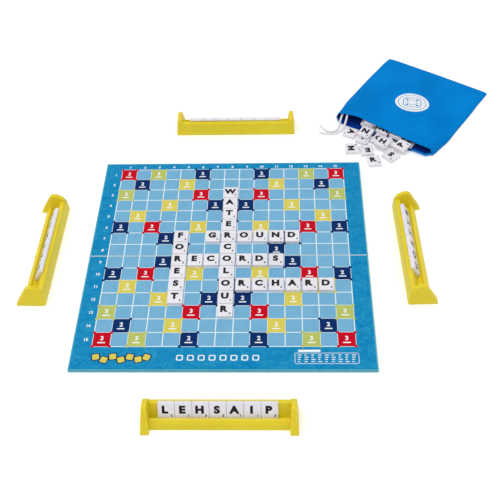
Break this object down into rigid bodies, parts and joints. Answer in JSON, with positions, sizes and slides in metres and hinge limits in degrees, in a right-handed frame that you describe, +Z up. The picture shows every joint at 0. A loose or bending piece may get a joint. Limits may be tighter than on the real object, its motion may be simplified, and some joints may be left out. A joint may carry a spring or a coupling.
{
  "type": "word board game",
  "caption": "Word board game laid out for play: square folding board with letter tiles played on it, tile racks round it and a cloth tile bag spilling tiles.",
  "frame": {"origin": "on the table under the middle of the board's fold", "axes": "+Z up, +Y from the player at the front towards the rear of the board, +X to that player's right"},
  "size_m": [0.6392, 0.6898, 0.029],
  "materials": {
    "grey_board": "grey board",
    "wrapping_paper": "matt light blue-green paper",
    "printed_sheet": "satin printed paper",
    "tile_plastic": "satin off-white moulded plastic",
    "rack_plastic": "semi-gloss yellow moulded plastic",
    "bag_cloth": "blue woven cloth",
    "cord": "white braided cord"
  },
  "bodies": {
    "bag": {"bag_cloth": "bag_cloth", "drawcord_a": "cord", "drawcord_b": "cord", "tile_heap": "tile_plastic"},
    "board_fold": {"fold_strip": "wrapping_paper"},
    "board_rear": {"board_rear_core": "grey_board", "board_rear_wrap": "wrapping_paper", "board_rear_print": "printed_sheet"},
    "board_front": {"board_front_core": "grey_board", "board_front_wrap": "wrapping_paper", "board_front_print": "printed_sheet"},
    "rack_front": {"rack_front": "rack_plastic"},
    "rack_front_tiles": {"rack_front_tiles": "tile_plastic"},
    "rack_rear": {"rack_rear": "rack_plastic"},
    "rack_rear_tiles": {"rack_rear_tiles": "tile_plastic"},
    "rack_left": {"rack_left": "rack_plastic"},
    "rack_left_tiles": {"rack_left_tiles": "tile_plastic"},
    "rack_right": {"rack_right": "rack_plastic"},
    "rack_right_tiles": {"rack_right_tiles": "tile_plastic"},
    "tile_r03_c08": {"tile_r03_c08": "tile_plastic"},
    "tile_r04_c08": {"tile_r04_c08": "tile_plastic"},
    "tile_r05_c08": {"tile_r05_c08": "tile_plastic"},
    "tile_r06_c08": {"tile_r06_c08": "tile_plastic"},
    "tile_r07_c05": {"tile_r07_c05": "tile_plastic"},
    "tile_r07_c07": {"tile_r07_c07": "tile_plastic"},
    "tile_r07_c08": {"tile_r07_c08": "tile_plastic"},
    "tile_r07_c09": {"tile_r07_c09": "tile_plastic"},
    "tile_r07_c10": {"tile_r07_c10": "tile_plastic"},
    "tile_r07_c11": {"tile_r07_c11": "tile_plastic"},
    "tile_r07_c12": {"tile_r07_c12": "tile_plastic"},
    "tile_r08_c05": {"tile_r08_c05": "tile_plastic"},
    "tile_r08_c08": {"tile_r08_c08": "tile_plastic"},
    "tile_r09_c05": {"tile_r09_c05": "tile_plastic"},
    "tile_r09_c06": {"tile_r09_c06": "tile_plastic"},
    "tile_r09_c07": {"tile_r09_c07": "tile_plastic"},
    "tile_r09_c08": {"tile_r09_c08": "tile_plastic"},
    "tile_r09_c09": {"tile_r09_c09": "tile_plastic"},
    "tile_r09_c10": {"tile_r09_c10": "tile_plastic"},
    "tile_r09_c11": {"tile_r09_c11": "tile_plastic"},
    "tile_r10_c05": {"tile_r10_c05": "tile_plastic"},
    "tile_r10_c08": {"tile_r10_c08": "tile_plastic"},
    "tile_r11_c05": {"tile_r11_c05": "tile_plastic"},
    "tile_r11_c08": {"tile_r11_c08": "tile_plastic"},
    "tile_r11_c09": {"tile_r11_c09": "tile_plastic"},
    "tile_r11_c10": {"tile_r11_c10": "tile_plastic"},
    "tile_r11_c11": {"tile_r11_c11": "tile_plastic"},
    "tile_r11_c12": {"tile_r11_c12": "tile_plastic"},
    "tile_r11_c13": {"tile_r11_c13": "tile_plastic"},
    "tile_r11_c14": {"tile_r11_c14": "tile_plastic"},
    "tile_r12_c05": {"tile_r12_c05": "tile_plastic"},
    "tile_r12_c08": {"tile_r12_c08": "tile_plastic"},
    "tile_r13_c08": {"tile_r13_c08": "tile_plastic"},
    "tile_loose_1": {"tile_loose_1": "tile_plastic"},
    "tile_loose_2": {"tile_loose_2": "tile_plastic"},
    "tile_loose_3": {"tile_loose_3": "tile_plastic"},
    "tile_loose_4": {"tile_loose_4": "tile_plastic"},
    "tile_loose_5": {"tile_loose_5": "tile_plastic"},
    "tile_loose_6": {"tile_loose_6": "tile_plastic"},
    "tile_loose_7": {"tile_loose_7": "tile_plastic"},
    "tile_loose_8": {"tile_loose_8": "tile_plastic"}
  },
  "joints": [
    {"name": "board_fold_front", "type": "hinge", "parent": "board_fold", "child": "board_front", "pos_m": [0, -0.0005, 0], "axis": [1, 0, 0], "range_deg": [0, 90]},
    {"name": "board_fold_rear", "type": "hinge", "parent": "board_fold", "child": "board_rear", "pos_m": [0, 0.0005, 0], "axis": [-1, 0, 0], "range_deg": [0, 90]},
    {"name": "board_lift", "type": "slide", "parent": "bag", "child": "board_fold", "axis": [0, 0, 1], "range_m": [0, 0.2827]},
    {"name": "rack_front_lift", "type": "slide", "parent": "bag", "child": "rack_front", "axis": [0, 0, 1], "range_m": [0, 0.06]},
    {"name": "rack_front_tiles_slide", "type": "slide", "parent": "rack_front", "child": "rack_front_tiles", "axis": [0, 0.4695, 0.8829], "range_m": [0, 0.03]},
    {"name": "rack_rear_lift", "type": "slide", "parent": "bag", "child": "rack_rear", "axis": [0, 0, 1], "range_m": [0, 0.06]},
    {"name": "rack_rear_tiles_slide", "type": "slide", "parent": "rack_rear", "child": "rack_rear_tiles", "axis": [0, -0.4695, 0.8829], "range_m": [0, 0.03]},
    {"name": "rack_left_lift", "type": "slide", "parent": "bag", "child": "rack_left", "axis": [0, 0, 1], "range_m": [0, 0.06]},
    {"name": "rack_left_tiles_slide", "type": "slide", "parent": "rack_left", "child": "rack_left_tiles", "axis": [0.4694, -0.0066, 0.8829], "range_m": [0, 0.03]},
    {"name": "rack_right_lift", "type": "slide", "parent": "bag", "child": "rack_right", "axis": [0, 0, 1], "range_m": [0, 0.06]},
    {"name": "rack_right_tiles_slide", "type": "slide", "parent": "rack_right", "child": "rack_right_tiles", "axis": [-0.4693, -0.0131, 0.8829], "range_m": [0, 0.03]},
    {"name": "tile_r03_c08_lift", "type": "slide", "parent": "board_rear", "child": "tile_r03_c08", "axis": [0, 0, 1], "range_m": [0, 0.06]},
    {"name": "tile_r04_c08_lift", "type": "slide", "parent": "board_rear", "child": "tile_r04_c08", "axis": [0, 0, 1], "range_m": [0, 0.06]},
    {"name": "tile_r05_c08_lift", "type": "slide", "parent": "board_rear", "child": "tile_r05_c08", "axis": [0, 0, 1], "range_m": [0, 0.06]},
    {"name": "tile_r06_c08_lift", "type": "slide", "parent": "board_rear", "child": "tile_r06_c08", "axis": [0, 0, 1], "range_m": [0, 0.06]},
    {"name": "tile_r07_c05_lift", "type": "slide", "parent": "board_rear", "child": "tile_r07_c05", "axis": [0, 0, 1], "range_m": [0, 0.06]},
    {"name": "tile_r07_c07_lift", "type": "slide", "parent": "board_rear", "child": "tile_r07_c07", "axis": [0, 0, 1], "range_m": [0, 0.06]},
    {"name": "tile_r07_c08_lift", "type": "slide", "parent": "board_rear", "child": "tile_r07_c08", "axis": [0, 0, 1], "range_m": [0, 0.06]},
    {"name": "tile_r07_c09_lift", "type": "slide", "parent": "board_rear", "child": "tile_r07_c09", "axis": [0, 0, 1], "range_m": [0, 0.06]},
    {"name": "tile_r07_c10_lift", "type": "slide", "parent": "board_rear", "child": "tile_r07_c10", "axis": [0, 0, 1], "range_m": [0, 0.06]},
    {"name": "tile_r07_c11_lift", "type": "slide", "parent": "board_rear", "child": "tile_r07_c11", "axis": [0, 0, 1], "range_m": [0, 0.06]},
    {"name": "tile_r07_c12_lift", "type": "slide", "parent": "board_rear", "child": "tile_r07_c12", "axis": [0, 0, 1], "range_m": [0, 0.06]},
    {"name": "tile_r08_c05_lift", "type": "slide", "parent": "board_rear", "child": "tile_r08_c05", "axis": [0, 0, 1], "range_m": [0, 0.06]},
    {"name": "tile_r08_c08_lift", "type": "slide", "parent": "board_rear", "child": "tile_r08_c08", "axis": [0, 0, 1], "range_m": [0, 0.06]},
    {"name": "tile_r09_c05_lift", "type": "slide", "parent": "board_front", "child": "tile_r09_c05", "axis": [0, 0, 1], "range_m": [0, 0.06]},
    {"name": "tile_r09_c06_lift", "type": "slide", "parent": "board_front", "child": "tile_r09_c06", "axis": [0, 0, 1], "range_m": [0, 0.06]},
    {"name": "tile_r09_c07_lift", "type": "slide", "parent": "board_front", "child": "tile_r09_c07", "axis": [0, 0, 1], "range_m": [0, 0.06]},
    {"name": "tile_r09_c08_lift", "type": "slide", "parent": "board_front", "child": "tile_r09_c08", "axis": [0, 0, 1], "range_m": [0, 0.06]},
    {"name": "tile_r09_c09_lift", "type": "slide", "parent": "board_front", "child": "tile_r09_c09", "axis": [0, 0, 1], "range_m": [0, 0.06]},
    {"name": "tile_r09_c10_lift", "type": "slide", "parent": "board_front", "child": "tile_r09_c10", "axis": [0, 0, 1], "range_m": [0, 0.06]},
    {"name": "tile_r09_c11_lift", "type": "slide", "parent": "board_front", "child": "tile_r09_c11", "axis": [0, 0, 1], "range_m": [0, 0.06]},
    {"name": "tile_r10_c05_lift", "type": "slide", "parent": "board_front", "child": "tile_r10_c05", "axis": [0, 0, 1], "range_m": [0, 0.06]},
    {"name": "tile_r10_c08_lift", "type": "slide", "parent": "board_front", "child": "tile_r10_c08", "axis": [0, 0, 1], "range_m": [0, 0.06]},
    {"name": "tile_r11_c05_lift", "type": "slide", "parent": "board_front", "child": "tile_r11_c05", "axis": [0, 0, 1], "range_m": [0, 0.06]},
    {"name": "tile_r11_c08_lift", "type": "slide", "parent": "board_front", "child": "tile_r11_c08", "axis": [0, 0, 1], "range_m": [0, 0.06]},
    {"name": "tile_r11_c09_lift", "type": "slide", "parent": "board_front", "child": "tile_r11_c09", "axis": [0, 0, 1], "range_m": [0, 0.06]},
    {"name": "tile_r11_c10_lift", "type": "slide", "parent": "board_front", "child": "tile_r11_c10", "axis": [0, 0, 1], "range_m": [0, 0.06]},
    {"name": "tile_r11_c11_lift", "type": "slide", "parent": "board_front", "child": "tile_r11_c11", "axis": [0, 0, 1], "range_m": [0, 0.06]},
    {"name": "tile_r11_c12_lift", "type": "slide", "parent": "board_front", "child": "tile_r11_c12", "axis": [0, 0, 1], "range_m": [0, 0.06]},
    {"name": "tile_r11_c13_lift", "type": "slide", "parent": "board_front", "child": "tile_r11_c13", "axis": [0, 0, 1], "range_m": [0, 0.06]},
    {"name": "tile_r11_c14_lift", "type": "slide", "parent": "board_front", "child": "tile_r11_c14", "axis": [0, 0, 1], "range_m": [0, 0.06]},
    {"name": "tile_r12_c05_lift", "type": "slide", "parent": "board_front", "child": "tile_r12_c05", "axis": [0, 0, 1], "range_m": [0, 0.06]},
    {"name": "tile_r12_c08_lift", "type": "slide", "parent": "board_front", "child": "tile_r12_c08", "axis": [0, 0, 1], "range_m": [0, 0.06]},
    {"name": "tile_r13_c08_lift", "type": "slide", "parent": "board_front", "child": "tile_r13_c08", "axis": [0, 0, 1], "range_m": [0, 0.06]},
    {"name": "tile_loose_1_lift", "type": "slide", "parent": "bag", "child": "tile_loose_1", "axis": [0, 0, 1], "range_m": [0, 0.06]},
    {"name": "tile_loose_2_lift", "type": "slide", "parent": "bag", "child": "tile_loose_2", "axis": [0, 0, 1], "range_m": [0, 0.06]},
    {"name": "tile_loose_3_lift", "type": "slide", "parent": "bag", "child": "tile_loose_3", "axis": [0, 0, 1], "range_m": [0, 0.06]},
    {"name": "tile_loose_4_lift", "type": "slide", "parent": "bag", "child": "tile_loose_4", "axis": [0, 0, 1], "range_m": [0, 0.06]},
    {"name": "tile_loose_5_lift", "type": "slide", "parent": "bag", "child": "tile_loose_5", "axis": [0, 0, 1], "range_m": [0, 0.06]},
    {"name": "tile_loose_6_lift", "type": "slide", "parent": "bag", "child": "tile_loose_6", "axis": [0, 0, 1], "range_m": [0, 0.06]},
    {"name": "tile_loose_7_lift", "type": "slide", "parent": "bag", "child": "tile_loose_7", "axis": [0, 0, 1], "range_m": [0, 0.06]},
    {"name": "tile_loose_8_lift", "type": "slide", "parent": "bag", "child": "tile_loose_8", "axis": [0, 0, 1], "range_m": [0, 0.06]}
  ],
  "couplings": [
    {"joint": "board_fold_front", "follows": "board_lift", "rad_per_m": 5.5556},
    {"joint": "board_fold_rear", "follows": "board_lift", "rad_per_m": 5.5556}
  ]
}
